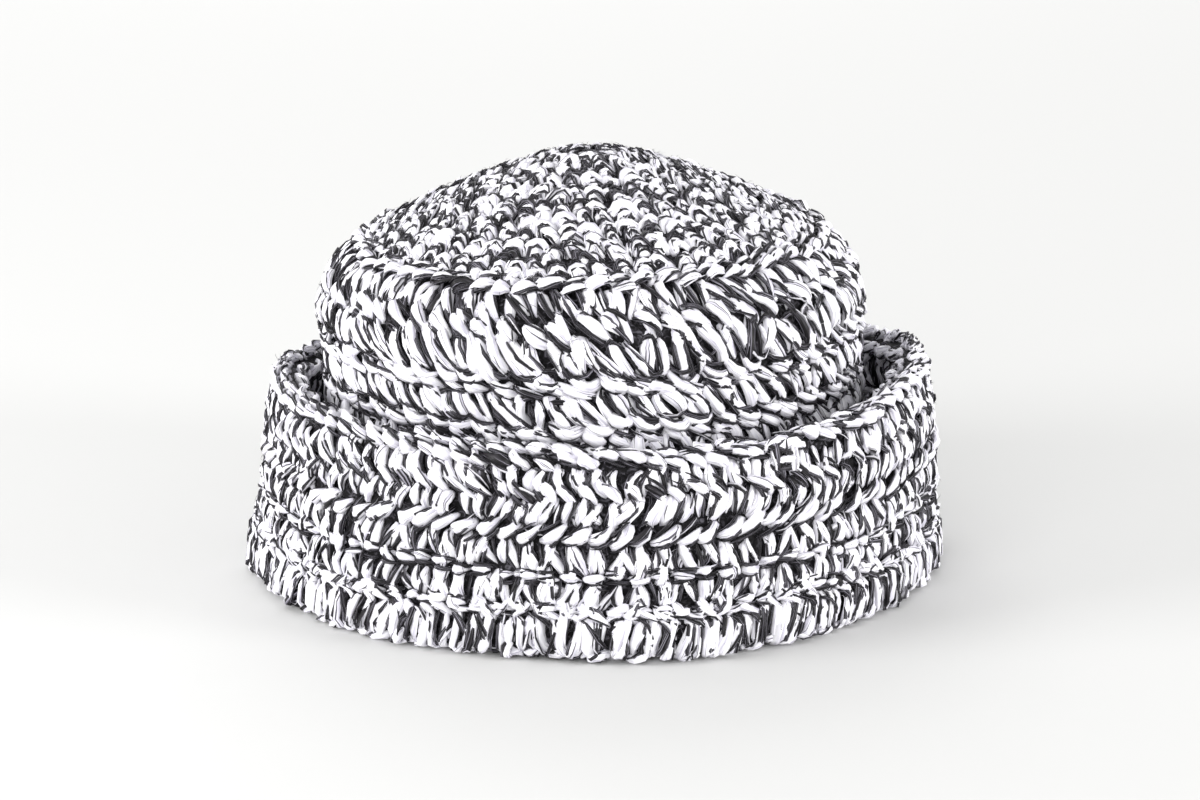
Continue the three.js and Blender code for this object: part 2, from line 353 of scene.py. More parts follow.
def model_strand(name, sides, rings):
    """One strand from x = 0 to 1, a ball drawn out to a length."""
    bpy.ops.object.select_all(action="DESELECT")
    bpy.ops.mesh.primitive_uv_sphere_add(
        segments=sides, ring_count=rings, radius=1, location=(0, 0, 0), rotation=(0, math.radians(-90), 0)
    )
    strand = bpy.context.object
    strand.name = name
    bpy.ops.object.transform_apply(location=False, rotation=True, scale=False)
    bpy.ops.object.mode_set(mode="EDIT")
    bpy.ops.mesh.select_all(action="SELECT")
    bpy.ops.transform.resize(value=(0.5, 1, 1), center_override=(0, 0, 0))
    bpy.ops.transform.translate(value=(0.5, 0, 0))
    bpy.ops.object.mode_set(mode="OBJECT")
    mesh = strand.data
    read = {
        "points": np.array([vertex.co[:] for vertex in mesh.vertices]),
        "corners": np.array([loop.vertex_index for loop in mesh.loops]),
        "sizes": np.array([polygon.loop_total for polygon in mesh.polygons]),
        "map": np.array([corner.uv[:] for corner in mesh.uv_layers.active.data])[:, ::-1],
    }
    bpy.data.objects.remove(strand)
    return read


RIBBON = model_strand("ribbon", sides=5, rings=8)
FILAMENT = model_strand("filament", sides=3, rings=5)
GATHERING = model_strand("gathering", sides=4, rings=6)
# plain ones have fewer faces, for the trough, the inside and the stray strands
PLAIN_RIBBON = model_strand("plain_ribbon", sides=4, rings=4)
PLAIN_GATHERING = model_strand("plain_gathering", sides=3, rings=4)
HAIR = model_strand("hair", sides=3, rings=3)


def curve_at(path, share):
    """Points and directions at shares of cubic curves, given by their four control points."""
    a, b, c, d = (path[:, i, None, :] for i in range(4))
    t = share[None, :, None]
    point = a * (1 - t) ** 3 + 3 * b * t * (1 - t) ** 2 + 3 * c * t**2 * (1 - t) + d * t**3
    heading = 3 * (b - a) * (1 - t) ** 2 + 6 * (c - b) * t * (1 - t) + 3 * (d - c) * t**2
    return point, heading


def lay(strand, legs, wide, thick, aside=0.0, above=0.0, roll=0.0, taper=0.0, folds=1.0):
    """Copies of a strand along legs. aside and above move a copy off its leg, and roll turns it about it.

    Each copy thins towards its ends by the power taper, and folds swells it here and there.
    """
    share, y, z = (strand["points"][None, :, i] for i in range(3))
    point, heading = curve_at(legs["path"], strand["points"][:, 0])
    flat_length = np.maximum(np.linalg.norm(heading[..., :2], axis=-1), 1e-6)
    fullness = np.sin(np.pi * np.clip(share, 0.04, 0.96)) ** taper / 2 * folds
    y, z = y * wide[:, None] * fullness, z * thick[:, None] * fullness
    off = y * np.cos(roll) - z * np.sin(roll) + aside
    out = point[..., 2] + y * np.sin(roll) + z * np.cos(roll) + above
    u = point[..., 0] - heading[..., 1] / flat_length * off
    v = point[..., 1] + heading[..., 0] / flat_length * off
    along = legs["along"][:, None] + v * legs["down"][:, None]
    turn = legs["turn"][:, None] + u / legs["radius"][:, None]
    points = on_fabric(turn, along, out * legs["face"][:, None]) * MM
    return {"strand": strand, "points": points, "inverted": legs["down"] * legs["face"] > 0}


def join(name, batches):
    """One mesh of all the batches of strands. A strand's finish is 1 for black and 0 for white."""
    points, corners, sizes, places, finishes = [], [], [], [], []
    base = 0
    for batch, finish in batches:
        strand, count = batch["strand"], len(batch["points"])
        if not count:
            continue
        points.append(batch["points"].reshape(-1, 3))
        offsets = base + np.arange(count)[:, None] * len(strand["points"])
        base += count * len(strand["points"])
        starts = np.concatenate([[0], np.cumsum(strand["sizes"])[:-1]])
        faces = zip(starts, strand["sizes"])
        backwards = np.concatenate([start + np.arange(size)[::-1] for start, size in faces])
        order = np.where(batch["inverted"][:, None], backwards[None], np.arange(len(backwards))[None])
        corners.append((strand["corners"][order] + offsets).ravel())
        finish = np.broadcast_to(finish, count)
        # white strands read the left half of the patches and black ones the right half
        column = chance.integers(0, ATLAS // 2, count) + finish * (ATLAS // 2)
        patch = np.stack([column, chance.integers(0, ATLAS, count)], -1)
        within = PATCH_MARGIN + (1 - 2 * PATCH_MARGIN) * strand["map"][order]
        places.append(((patch[:, None] + within) / ATLAS).reshape(-1, 2))
        sizes.append(np.tile(strand["sizes"], count))
        finishes.append(np.repeat(finish, len(strand["sizes"])))
    points, corners, sizes = np.vstack(points), np.concatenate(corners), np.concatenate(sizes)
    mesh = bpy.data.meshes.new(name)
    mesh.vertices.add(len(points))
    mesh.vertices.foreach_set("co", points.ravel().astype(np.float32))
    mesh.loops.add(len(corners))
    mesh.loops.foreach_set("vertex_index", corners.astype(np.int32))
    mesh.polygons.add(len(sizes))
    mesh.polygons.foreach_set("loop_start", np.concatenate([[0], np.cumsum(sizes)[:-1]]).astype(np.int32))
    mesh.polygons.foreach_set("loop_total", sizes.astype(np.int32))
    mesh.materials.append(WHITE)
    mesh.materials.append(BLACK)
    mesh.polygons.foreach_set("material_index", np.concatenate(finishes).astype(np.int32))
    mesh.polygons.foreach_set("use_smooth", np.ones(len(sizes), bool))
    for layer in ("strand", "OFBake"):
        flat = np.vstack(places).astype(np.float32).ravel()
        mesh.uv_layers.new(name=layer).data.foreach_set("uv", flat)
    mesh.update(calc_edges=True)
    mesh.validate()
    piece = bpy.data.objects.new(name, mesh)
    bpy.context.scene.collection.objects.link(piece)
    return piece


# Stitches

# Each row is one strand of a stitch: its colour, the four points that steer its curve, as shares of the
# stitch's width to the right and of its height downwards, its width in mm, how far it lies out of the fabric
# at its start, middle and end in mm, and the share of stitches that show it
STITCHES = {
    # a puffy leaning drop held by a strand that sweeps under it like a cup
    "drop": [
        ("white", (0.30, -0.14), (0.02, 0.20), (0.14, 0.68), (0.46, 0.96), 4.9, (-0.8, 1.6, -0.8), 1.0),
        ("white", (0.58, -0.16), (0.86, 0.14), (0.96, 0.54), (0.78, 0.90), 4.5, (-0.8, 1.8, -0.8), 1.0),
        ("white", (-0.20, 0.60), (0.00, 1.02), (0.46, 1.12), (0.98, 0.88), 3.8, (-1.0, 2.4, -0.8), 1.0),
        ("black", (0.36, 0.02), (0.52, 0.26), (0.66, 0.56), (0.70, 0.84), 1.5, (0.5, 2.5, 0.5), 0.9),
        ("black", (0.16, -0.05), (-0.12, 0.20), (-0.06, 0.58), (0.22, 0.86), 1.9, (0.2, 2.2, 0.4), 1.0),
        ("black", (-0.26, 0.38), (0.02, 0.82), (0.50, 0.90), (1.00, 0.66), 1.7, (0.0, 2.8, 0.8), 0.9),
        ("black", (-0.12, 0.14), (0.20, -0.10), (0.40, -0.14), (0.70, 0.10), 1.8, (0.0, 2.1, 0.0), 0.9),
    ],
    # the two legs under the ridge, which lean together
    "vee": [
        ("white", (0.02, -0.12), (-0.06, 0.26), (0.16, 0.62), (0.44, 1.04), 4.3, (-0.7, 1.6, -0.7), 1.0),
        ("white", (0.86, -0.14), (0.98, 0.22), (0.72, 0.56), (0.60, 1.02), 4.0, (-0.7, 1.2, -0.7), 1.0),
        ("black", (0.50, -0.12), (0.42, 0.25), (0.66, 0.52), (0.62, 0.98), 1.6, (0.4, 2.1, 0.4), 0.95),
        ("black", (-0.08, 0.05), (-0.02, 0.42), (0.20, 0.82), (0.46, 1.20), 1.6, (0.2, 2.2, 0.2), 0.9),
        ("black", (0.16, -0.20), (0.42, 0.10), (0.62, 0.40), (1.04, 0.72), 1.4, (0.2, 2.6, 0.4), 0.55),
    ],
    # a chain of slanting lenses that falls to the right
    "chain": [
        ("white", (-0.14, -0.08), (0.16, 0.10), (0.68, 0.52), (1.02, 0.92), 4.3, (-1.0, 2.0, -0.8), 1.0),
        ("white", (0.10, -0.60), (0.30, -0.10), (0.56, 0.50), (0.90, 1.20), 3.8, (-0.8, 1.3, -0.8), 0.6),
        ("black", (-0.18, 0.12), (0.20, 0.48), (0.65, 0.98), (1.08, 1.26), 1.4, (0.0, 2.0, 0.0), 0.95),
        ("black", (-0.10, -0.44), (0.25, -0.22), (0.75, 0.10), (1.08, 0.50), 1.6, (0.2, 2.2, 0.2), 0.95),
    ],
    # a braid of lenses that climbs to the right
    "braid": [
        ("white", (-0.22, 0.86), (0.08, 0.76), (0.76, 0.50), (1.14, 0.18), 4.3, (-0.8, 2.2, -0.8), 1.0),
        ("black", (-0.16, 1.12), (0.30, 1.02), (0.90, 0.70), (1.26, 0.34), 1.4, (-0.2, 2.0, 0.0), 1.0),
        ("black", (-0.32, 0.62), (0.05, 0.52), (0.60, 0.22), (1.00, -0.08), 1.3, (-0.2, 2.1, 0.0), 0.8),
    ],
    # a tall stitch of two posts, with a strand wrapped across them halfway down
    "post": [
        ("white", (0.20, -0.06), (0.02, 0.14), (0.10, 0.34), (0.42, 0.54), 3.9, (-0.4, 1.5, -0.3), 1.0),
        ("white", (0.96, -0.06), (0.66, 0.10), (0.70, 0.28), (0.98, 0.50), 3.8, (-0.4, 1.3, -0.3), 1.0),
        ("white", (-0.16, 0.26), (0.20, 0.34), (0.62, 0.46), (0.98, 0.70), 3.7, (-0.4, 2.3, -0.2), 0.8),
        ("white", (0.50, 0.46), (0.72, 0.64), (0.12, 0.84), (0.30, 1.12), 4.1, (-0.3, 1.7, -0.7), 1.0),
        ("white", (1.06, 0.54), (1.00, 0.76), (0.62, 0.90), (0.74, 1.14), 3.9, (-0.3, 1.4, -0.7), 1.0),
        ("black", (0.55, -0.06), (0.40, 0.14), (0.46, 0.34), (0.72, 0.52), 1.6, (0.3, 2.0, 0.3), 0.9),
        ("black", (-0.10, 0.40), (0.24, 0.48), (0.60, 0.60), (0.94, 0.84), 1.5, (0.4, 2.7, 0.4), 0.9),
        ("black", (-0.14, 0.16), (0.20, 0.22), (0.60, 0.32), (1.00, 0.56), 1.3, (0.4, 2.6, 0.4), 0.6),
        ("black", (0.80, 0.52), (0.92, 0.70), (0.36, 0.86), (0.52, 1.10), 1.6, (0.3, 2.1, 0.2), 0.95),
        ("black", (0.24, 0.56), (0.30, 0.72), (-0.10, 0.86), (0.06, 1.08), 1.6, (0.3, 2.1, 0.2), 0.9),
    ],
    # the ring at the tip's centre, its strands drawn together
    "spoke": [
        ("white", (0.20, 0.10), (0.10, 0.40), (0.20, 0.70), (0.30, 1.10), 3.0, (-0.2, 1.6, -0.6), 1.0),
        ("white", (0.80, 0.16), (0.90, 0.40), (0.80, 0.70), (0.80, 1.10), 3.0, (-0.2, 1.4, -0.6), 1.0),
        ("black", (0.50, 0.10), (0.45, 0.30), (0.60, 0.70), (0.55, 1.20), 1.4, (0.8, 2.3, 0.2), 0.9),
        ("black", (0.00, 0.14), (0.05, 0.30), (-0.05, 0.70), (0.05, 1.15), 1.3, (0.8, 2.1, 0.2), 0.8),
    ],
    # two tall legs that bend like an S, with short strands across them and level ones over their ends
    "tall": [
        ("white", (0.00, 0.00), (0.86, 0.20), (-0.50, 0.68), (0.30, 1.08), 4.0, (-0.7, 1.6, -0.8), 1.0),
        ("white", (0.54, 0.02), (1.36, 0.24), (0.02, 0.72), (0.84, 1.10), 3.8, (-0.7, 1.4, -0.8), 1.0),
        ("white", (0.10, -0.16), (0.40, -0.04), (0.80, 0.16), (1.12, 0.42), 3.8, (-0.6, 2.0, -0.4), 0.9),
        ("white", (0.86, 0.56), (0.60, 0.70), (0.36, 0.84), (0.20, 1.10), 3.6, (-0.6, 2.0, -0.4), 0.6),
        ("white", (-0.20, 0.02), (0.20, -0.10), (0.66, -0.10), (1.00, 0.04), 3.4, (-0.4, 1.2, -0.4), 0.8),
        ("white", (-0.10, 1.02), (0.30, 0.96), (0.66, 0.90), (1.10, 0.82), 3.4, (-0.4, 1.0, -0.4), 0.8),
        ("black", (-0.20, 0.04), (0.60, 0.26), (-0.66, 0.70), (0.06, 1.04), 1.7, (0.2, 2.1, 0.2), 0.9),
        ("black", (0.30, -0.02), (1.10, 0.26), (-0.20, 0.70), (0.56, 1.04), 1.7, (0.3, 2.2, 0.2), 0.9),
        ("black", (-0.10, 0.10), (0.40, 0.22), (0.66, 0.40), (0.98, 0.70), 1.5, (0.6, 2.8, 0.4), 0.6),
        ("black", (0.98, 0.34), (0.66, 0.52), (0.42, 0.70), (0.14, 0.94), 1.4, (0.4, 2.8, 0.4), 0.5),
    ],
    # two short legs that meet below
    "short": [
        ("white", (-0.06, -0.12), (0.00, 0.35), (0.26, 0.65), (0.44, 1.12), 4.2, (-0.7, 1.2, -0.7), 1.0),
        ("white", (1.00, -0.12), (0.96, 0.35), (0.66, 0.65), (0.68, 1.10), 4.0, (-0.7, 1.1, -0.7), 1.0),
        ("black", (0.48, -0.10), (0.42, 0.30), (0.52, 0.60), (0.48, 1.02), 1.6, (0.2, 2.0, 0.2), 0.95),
        ("black", (0.90, 0.04), (1.10, 0.40), (0.82, 0.70), (0.90, 1.04), 1.4, (0.2, 2.0, 0.2), 0.85),
    ],
    # a thin level chain, here and there with the upright end of a leg across it
    "line": [
        ("white", (-0.04, 0.50), (0.24, 0.20), (0.72, 0.28), (0.98, 0.62), 3.5, (-0.9, 2.0, -0.9), 1.0),
        ("white", (0.46, -1.00), (0.60, 0.00), (0.50, 0.60), (0.36, 1.80), 3.4, (-1.0, 2.0, -1.0), 0.4),
        ("black", (-0.10, -0.10), (0.30, -0.25), (0.70, 0.00), (1.10, -0.10), 1.6, (0.2, 1.7, 0.2), 1.0),
        ("black", (-0.10, 1.00), (0.30, 0.85), (0.70, 1.20), (1.10, 0.95), 1.6, (0.2, 1.7, 0.2), 1.0),
    ],
    # a level chain whose joints spread into little stars
    "star": [
        ("white", (-0.04, 0.50), (0.24, 0.24), (0.72, 0.28), (0.98, 0.62), 3.5, (-0.9, 2.0, -0.9), 1.0),
        ("white", (0.20, -0.75), (0.36, 0.10), (0.62, 0.80), (0.86, 1.70), 3.4, (-0.8, 2.2, -0.8), 0.55),
        ("white", (0.92, -0.60), (0.66, 0.10), (0.42, 0.80), (0.14, 1.60), 3.2, (-0.8, 2.4, -0.8), 0.5),
        ("black", (-0.10, -0.10), (0.30, -0.25), (0.70, 0.00), (1.10, -0.10), 1.5, (0.2, 1.7, 0.2), 0.9),
        ("black", (-0.10, 1.00), (0.30, 0.85), (0.70, 1.20), (1.10, 0.95), 1.5, (0.2, 1.7, 0.2), 0.9),
    ],
    # the chain along the rim, almost level
    "edge": [
        ("white", (-0.16, 0.05), (0.22, 0.15), (0.70, 0.40), (1.06, 0.82), 4.4, (-0.8, 1.9, -0.8), 1.0),
        ("black", (-0.15, 0.50), (0.25, 0.60), (0.70, 0.90), (1.10, 1.15), 1.4, (0.0, 1.8, 0.0), 0.85),
        ("black", (-0.10, -0.22), (0.30, -0.15), (0.70, 0.08), (1.10, 0.42), 1.3, (0.1, 1.9, 0.1), 0.9),
    ],
    # two round arches, one inside the other, over a short leg
    "arch": [
        ("white", (-0.08, 0.62), (0.00, -0.12), (0.90, -0.16), (1.06, 0.52), 4.2, (-0.8, 1.8, -0.8), 1.0),
        ("white", (0.12, 0.88), (0.16, 0.22), (0.82, 0.18), (0.92, 0.80), 3.9, (-0.5, 1.6, -0.8), 1.0),
        ("white", (0.50, 0.50), (0.42, 0.66), (0.56, 0.86), (0.52, 1.10), 3.9, (-0.4, 1.2, -0.8), 1.0),
        ("black", (0.00, 0.78), (0.08, 0.04), (0.86, 0.00), (1.00, 0.70), 1.8, (-0.2, 2.3, -0.2), 0.95),
        ("black", (-0.14, 0.50), (-0.06, -0.36), (0.92, -0.42), (1.12, 0.42), 1.9, (0.2, 2.3, 0.2), 1.0),
        ("black", (-0.10, 0.20), (0.20, -0.30), (0.70, -0.34), (1.10, 0.04), 1.6, (0.2, 2.4, 0.2), 0.4),
        ("black", (0.24, 0.96), (0.28, 0.42), (0.70, 0.40), (0.80, 0.94), 1.5, (0.0, 2.1, 0.0), 0.9),
    ],
    # a strand drawn out along the ridge
    "trail": [
        ("white", (-0.30, 0.86), (0.25, 0.60), (0.75, 0.40), (1.25, 0.04), 2.6, (-0.6, 1.5, -0.6), 0.9),
        ("black", (-0.20, 0.40), (0.25, 0.25), (0.75, 0.05), (1.10, -0.25), 1.4, (0.1, 1.4, 0.1), 1.0),
        ("black", (-0.15, 1.15), (0.30, 0.95), (0.80, 0.75), (1.20, 0.45), 1.2, (0.1, 1.4, 0.1), 0.9),
    ],
}

WAVES_OF_MARL = [chance.uniform(0, 2 * math.pi, 3) for _ in range(6)]


def darkness(turn, along):
    """From 0 where the marl shows mostly white to 1 where it shows mostly black, drifting over the fabric."""
    total = 0
    for number, (first, second, third) in enumerate(WAVES_OF_MARL):
        bend = 2 * np.sin(along / (9 + 3 * number) + second)
        total = total + np.sin((5 + 4 * number) * turn + first + bend + third)
    return np.clip(0.5 + total / 5, 0, 1)


# How unevenly the hat is worked: the spread of each, in mm
ROUND_WANDER = 0.5  # a round up and down on its way round
STITCH_PLACE = 0.5  # a stitch from its even place
STRAND_PLACE = 0.35  # a strand from its place in the stitch
STRAND_BEND = 0.65  # the points that steer it
STRAND_SWAY = 1.0  # its middle, to either side
STRAND_LIFT = 0.3  # how far it lies out of the fabric
MIDDLE_LIFT = 0.4  # and its middle
STITCH_LEAN = 0.24  # sideways for each mm of height
STRAND_WIDTH = (0.8, 1.2)  # least and most, as shares of its width
SMALLEST_RADIUS = 3.0  # mm, so that the stitches at the tip's centre keep their width
INNER_MARL = 20  # mm along the fabric that the marl of either face is moved, so that the two differ


def work_round(stitch, top, bottom, count, face, lift=2.9, shift=0.0, loose=1.0, lean=0.0, cut=0.15):
    """The strands of one round. top and bottom are mm along the fabric, and face 1 is the crown's outside.

    Up to the share cut of a strand is hidden in the fabric, so the strands show at varied lengths.
    """
    height = abs(bottom - top)
    radius = float(radius_at((top + bottom) / 2))
    width = 2 * math.pi * radius / count
    moved = chance.normal(0, STITCH_PLACE * loose, (count, 2))
    # the round wanders up and down, and each stitch leans its own way
    places = 2 * math.pi * np.arange(count) / count
    for waves in (3, 7, 11):
        moved[:, 1] += ROUND_WANDER * loose * np.sin(waves * places + chance.uniform(0, 2 * math.pi))
    skewed = lean * width / height + chance.normal(0, STITCH_LEAN * loose, count)
    strands = []
    for colour, a, b, c, d, wide, lifts, shown in STITCHES[stitch]:
        number = np.flatnonzero(chance.random(count) < shown)
        total = len(number)
        flat = np.array([a, b, c, d]) * (width, height)
        # the two inner points steer the curve's middle to the lift it is given
        middle = (8 * lifts[1] - lifts[0] - lifts[2]) / 6
        steer = np.column_stack([flat, np.array([lifts[0], middle, middle, lifts[2]]) + lift])
        path = np.repeat(steer[None], total, 0)
        kept = chance.uniform(1 - cut, 1, (total, 1, 1))
        held = chance.random((total, 1, 1))
        pivot = path[:, :1, :2] * (1 - held) + path[:, 3:, :2] * held
        path[:, :, :2] = pivot + (path[:, :, :2] - pivot) * kept
        path[:, :, :2] += moved[number, None]
        path[:, :, 0] += skewed[number, None] * (path[:, :, 1] - height / 2)
        path[:, :, :2] += chance.normal(0, STRAND_PLACE * loose, (total, 1, 2))
        path[:, :, :2] += chance.normal(0, STRAND_BEND * loose, (total, 4, 2))
        path[:, 1:3, 0] += chance.normal(0, STRAND_SWAY * loose, (total, 2))
        path[:, :, 2] += chance.normal(0, STRAND_LIFT * loose, (total, 1))
        path[:, 1:3, 2] += chance.normal(0, MIDDLE_LIFT * loose, (total, 2))
        turn = 2 * math.pi * (number + shift) / count
        strands.append(
            {
                "path": path,
                "turn": turn,
                "radius": np.full(total, max(radius, SMALLEST_RADIUS)),
                "along": np.full(total, float(top)),
                "down": np.full(total, 1.0 if bottom > top else -1.0),
                "face": np.full(total, float(face)),
                "wide": wide * chance.uniform(*STRAND_WIDTH, total),
                "black": np.full(total, colour == "black"),
                "dark": darkness(turn, top + face * INNER_MARL),
            }
        )
    return strands


def picked(strands, chosen):
    return {key: value[chosen] for key, value in strands.items()}


RIBBON_THICKNESS = (0.5, 0.68)  # least and most, as shares of its width
PLY_WIDTH = (0.9, 1.8)  # mm, least and most
PLIES = (0.92, 0.3)  # the shares of ribbons that show a first and a second black ply
PLY_EDGE = 0.35  # radians up round a ribbon from its edge, where a ply lies


def ply_beside(ribbons, thick):
    """A filament along each ribbon, which winds about one of its edges."""
    count = len(thick)
    share = FILAMENT["points"][None, :, 0]
    edge = np.where(chance.random((count, 1)) < 0.5, PLY_EDGE, math.pi - PLY_EDGE)
    edge = edge + chance.normal(0, 0.4, (count, 1))
    angle = edge + chance.normal(1.6, 0.8, (count, 1)) * (share - 0.5)
    fullness = np.sin(np.pi * np.clip(share, 0.06, 0.94)) ** 0.6
    aside = np.cos(angle) * (ribbons["wide"][:, None] / 2 + 0.1) * fullness
    above = np.sin(angle) * (thick[:, None] / 2 + 0.25) * fullness
    slim = chance.uniform(*PLY_WIDTH, count)
    return lay(FILAMENT, ribbons, slim, slim * 0.6, aside, above)


def gathered_ribbons(ribbons, plain, turned, swell):
    """Ribbons of gathered paper, a few of them showing their black side, and the plies beside them."""
    shape = PLAIN_RIBBON if plain else RIBBON
    share = shape["points"][None, :, 0]
    wide = ribbons["wide"] * swell
    total = len(wide)
    thick = wide * chance.uniform(*RIBBON_THICKNESS, total)
    roll = chance.normal(0, 0.3, (total, 1)) + chance.normal(0, 0.5, (total, 1)) * (share - 0.5)
    taper = chance.uniform(-0.45, 0.2, (total, 1))
    # paper gathers unevenly: it swells and pinches along a strand, and is fuller at one end
    waves = chance.uniform(0.7, 1.6, (total, 1)) * share + chance.random((total, 1))
    folds = 1 + 0.16 * np.sin(2 * np.pi * waves) + chance.normal(0, 0.3, (total, 1)) * (share - 0.5)
    black = (chance.random(total) < turned + 0.04 * ribbons["dark"]).astype(int)
    wide = wide * (1 - 0.25 * black)
    batches = [(lay(shape, ribbons, wide, thick, roll=roll, taper=taper, folds=folds), black)]
    for shown in () if plain else PLIES:
        wound = chance.random(total) < shown
        batches.append((ply_beside(picked(ribbons, wound), thick[wound]), 1 - black[wound]))
    return batches


def black_gatherings(bundles, plain):
    """Flat gatherings of black filaments, more of them where the marl is dark."""
    shape = PLAIN_GATHERING if plain else GATHERING
    bundles = picked(bundles, chance.random(len(bundles["wide"])) < 0.75 + 0.25 * bundles["dark"])
    wide = bundles["wide"]
    total = len(wide)
    tilt = chance.normal(0, 0.4, (total, 1))
    broad = wide * chance.uniform(0.7, 1.2, total)
    flat = lay(shape, bundles, broad, wide * 0.6, above=-0.2, roll=tilt, taper=-0.1)
    batches = [(flat, (chance.random(total) < 0.95).astype(int))]
    if plain:
        return batches
    # one filament stands proud of the rest
    share = FILAMENT["points"][None, :, 0]
    angle = chance.uniform(0, math.pi, (total, 1)) + chance.normal(0, 1.5, (total, 1)) * (share - 0.5)
    aside = np.cos(angle) * wide[:, None] * 0.55
    above = np.sin(angle) * wide[:, None] * 0.3
    slim = wide * chance.uniform(0.4, 0.7, total)
    black = (chance.random(total) < 0.9).astype(int)
    batches.append((lay(FILAMENT, bundles, slim, slim * 0.8, aside, above), black))
    return batches


def yarn(rounds, plain=False, turned=0.02, swell=1.0):
    """The white ribbons and black filaments of all strands in the rounds.

    The share turned of the ribbons shows its black side, which in the trough is raised as painted shade, and
    swell widens them.
    """
    strands = [strand for one in rounds for strand in one]
    strands = {key: np.concatenate([one[key] for one in strands]) for key in strands[0]}
    black = strands["black"]
    ribbons = gathered_ribbons(picked(strands, ~black), plain, turned, swell)
    return ribbons + black_gatherings(picked(strands, black), plain)


GROUND_THICKNESS = 5.6
GROUND_ROW = 4  # mm from one row of the wall's faces to the next
GROUND_STEPS = 96  # of faces round the hat
WELD = 0.01  # mm


def ground(name, start, stop):
    """The closed wall of deeper strands under a stretch of stitches, its outline spun round the hat."""
    half = GROUND_THICKNESS / 2
    stretch = np.linspace(start, stop, int((stop - start) / GROUND_ROW))
    there_and_back = np.concatenate([stretch, stretch[::-1]])
    radius, height = across_fabric(there_and_back, np.repeat([half, -half], len(stretch)))
    outline = list(zip(radius * MM, height * MM))
    bpy.ops.object.select_all(action="DESELECT")
    bpy.ops.mesh.primitive_plane_add(size=FABRIC * MM, location=(outline[0][0], 0, outline[0][1]))
    wall = bpy.context.object
    wall.name = name
    bpy.ops.object.transform_apply(location=True, rotation=False, scale=False)
    bpy.ops.object.mode_set(mode="EDIT")
    bpy.ops.mesh.select_all(action="SELECT")
    bpy.ops.mesh.merge(type="CENTER")
    for (r0, z0), (r1, z1) in zip(outline, outline[1:] + outline[:1]):
        bpy.ops.mesh.extrude_region_move(TRANSFORM_OT_translate={"value": (r1 - r0, 0, z1 - z0)})
    bpy.ops.mesh.select_all(action="SELECT")
    bpy.ops.mesh.remove_doubles(threshold=WELD * MM)
    bpy.ops.mesh.spin(steps=GROUND_STEPS, angle=2 * math.pi, center=(0, 0, 0), axis=(0, 0, 1))
    bpy.ops.mesh.select_all(action="SELECT")
    bpy.ops.mesh.remove_doubles(threshold=WELD * MM)
    bpy.ops.mesh.normals_make_consistent(inside=False)
    bpy.ops.object.mode_set(mode="OBJECT")
    places = np.empty(len(wall.data.vertices) * 3)
    wall.data.vertices.foreach_get("co", places)
    wall.data.vertices.foreach_set("co", (settled(places.reshape(-1, 3) / MM) * MM).ravel())
    wall.data.update()
    wall.data.materials.append(SHADED)
    bpy.ops.object.shade_smooth()
    return wall


# The tip: eight rounds, each with eight stitches more than the last
TIP_ROUNDS = 8
TIP_INCREASE = 8
TIP_PITCH = RIDGE_AT / TIP_ROUNDS
tip_rounds = []
for number in range(TIP_ROUNDS):
    inner, outer = number * TIP_PITCH, (number + 1) * TIP_PITCH
    count = TIP_INCREASE * (number + 1)
    stitch = "arch" if number else "spoke"
    tip_rounds.append(work_round(stitch, inner, outer, count, 1, shift=0.31 * number, lean=0.3))
tip_stitches = join("tip_stitches", yarn(tip_rounds))

# The raised chain round the tip, with drawn-out strands above it
SIDE_STITCHES = 64
ridge_rounds = [
    work_round("trail", RIDGE_AT - 4.6, RIDGE_AT - 1.4, SIDE_STITCHES, 1, lift=3.6),
    work_round("braid", RIDGE_AT - 1.6, RIDGE_AT + 3.4, SIDE_STITCHES, 1, lift=4.3),
]
ridge_stitches = join("ridge_stitches", yarn(ridge_rounds))

# The side: mm below the ridge at which each round's drops start and end, and its chain ends
SIDE_ROUNDS = [
    (18.4, 33.0, 37.8),
    (37.0, 49.6, 54.4),
    (53.4, 66.0, 70.8),
    (69.8, 82.2, 86.8),
]
side_rounds = [
    work_round("vee", RIDGE_AT + 1.4, RIDGE_AT + 13.6, SIDE_STITCHES, 1, lean=0.3),
    work_round("chain", RIDGE_AT + 12.0, RIDGE_AT + 19.4, SIDE_STITCHES, 1, shift=0.6),
]
for number, row in enumerate(SIDE_ROUNDS):
    top, middle, bottom = (RIDGE_AT + place for place in row)
    shift = 0.37 * number
    side_rounds.append(work_round("drop", top, middle, SIDE_STITCHES, 1, shift=shift, loose=1.15, lean=0.6))
    side_rounds.append(work_round("chain", middle, bottom, SIDE_STITCHES, 1, shift=shift + 0.2))
side_rounds.append(work_round("short", RIDGE_AT + 86.0, FOOT_AT + 1.0, SIDE_STITCHES, 1))
side_stitches = join("side_stitches", yarn(side_rounds[:5]))
lower_side_stitches = join("lower_side_stitches", yarn(side_rounds[5:]))

# The cuff's outside: each round's stitch, the mm below the rim at which it starts and ends, and its lift
CUFF_STITCHES = 100
CUFF_ROUNDS = [
    ("post", 0.2, 18.0, 3.0),
    ("braid", 17.0, 26.0, 3.4),
    ("short", 25.4, 35.6, 2.9),
    ("line", 35.0, 38.6, 3.2),
    ("short", 38.2, 47.8, 2.9),
    ("star", 47.2, 50.8, 3.2),
    ("tall", 50.3, 64.0, 2.9),
]
cuff_rounds = []
for number, (stitch, top, bottom, lift) in enumerate(CUFF_ROUNDS):
    shift = 0.43 * number
    loose, cut = (1.05, 0.22) if stitch == "tall" else (1.0, 0.12)
    start, stop = RIM_AT - top, RIM_AT - bottom
    cuff_rounds.append(work_round(stitch, start, stop, CUFF_STITCHES, -1, lift, shift, loose, cut=cut))
cuff_stitches = join("cuff_stitches", yarn(cuff_rounds[:3]))
lower_cuff_stitches = join("lower_cuff_stitches", yarn(cuff_rounds[3:]))

